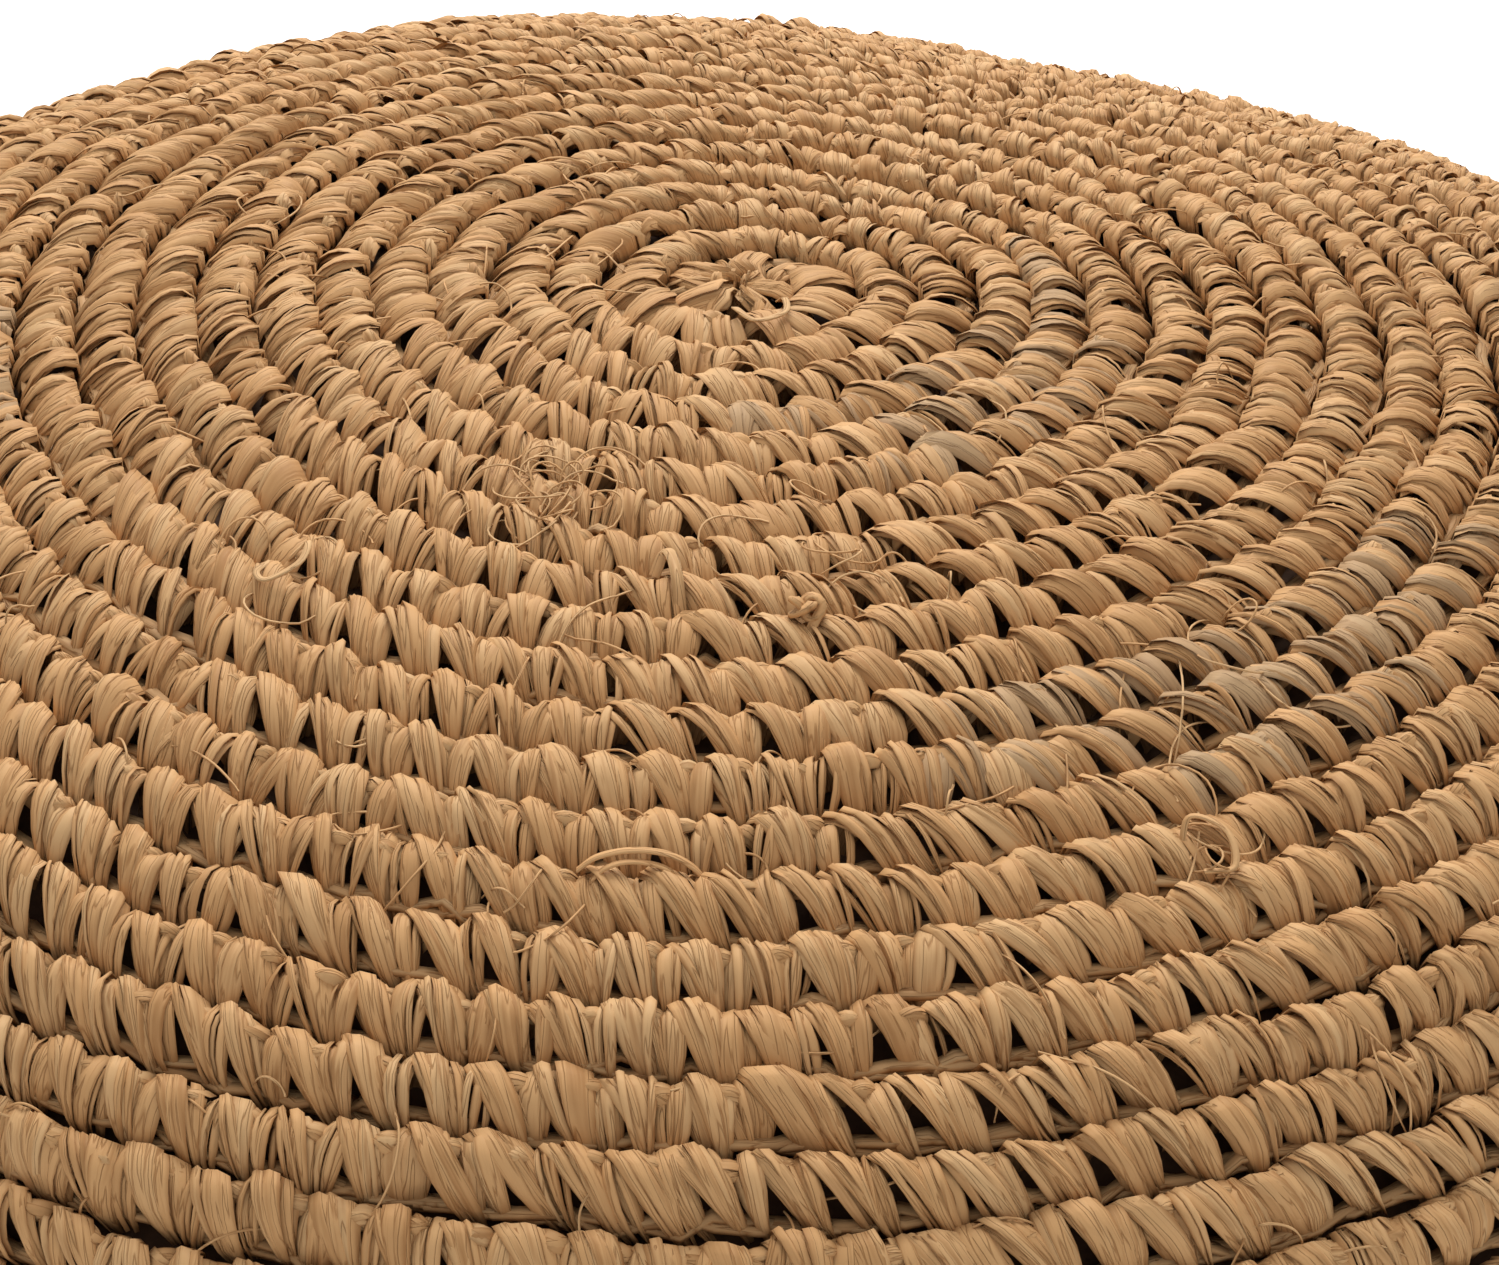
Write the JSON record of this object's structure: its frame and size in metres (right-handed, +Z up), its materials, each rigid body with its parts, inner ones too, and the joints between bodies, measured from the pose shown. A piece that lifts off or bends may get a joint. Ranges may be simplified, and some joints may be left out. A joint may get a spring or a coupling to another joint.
{
  "type": "chair seat pad",
  "caption": "Round domed seat pad with a spiral crocheted raffia cover, joined at the rim, over a wadded foam cushion in a dark cotton case.",
  "frame": {"origin": "middle of the face that the pad rests on, at the lowest point of the pad", "axes": "+Z up through the crown, the spiral's own axis; X and Y are level and alike, because the pad is round"},
  "size_m": [0.3886, 0.3886, 0.0976],
  "materials": {
    "raffia": "natural straw, low satin, streaked along the strands",
    "inner_case": "matt plain-woven cotton, dark brown",
    "wadding": "matt white fibre",
    "foam": "matt open-cell foam, cream"
  },
  "bodies": {
    "root": {"raffia_top": "raffia", "raffia_underside": "raffia", "rim_join": "raffia", "inner_case_top": "inner_case", "inner_case_underside": "inner_case", "wadding_top": "wadding", "wadding_underside": "wadding", "foam_core": "foam"}
  },
  "joints": []
}
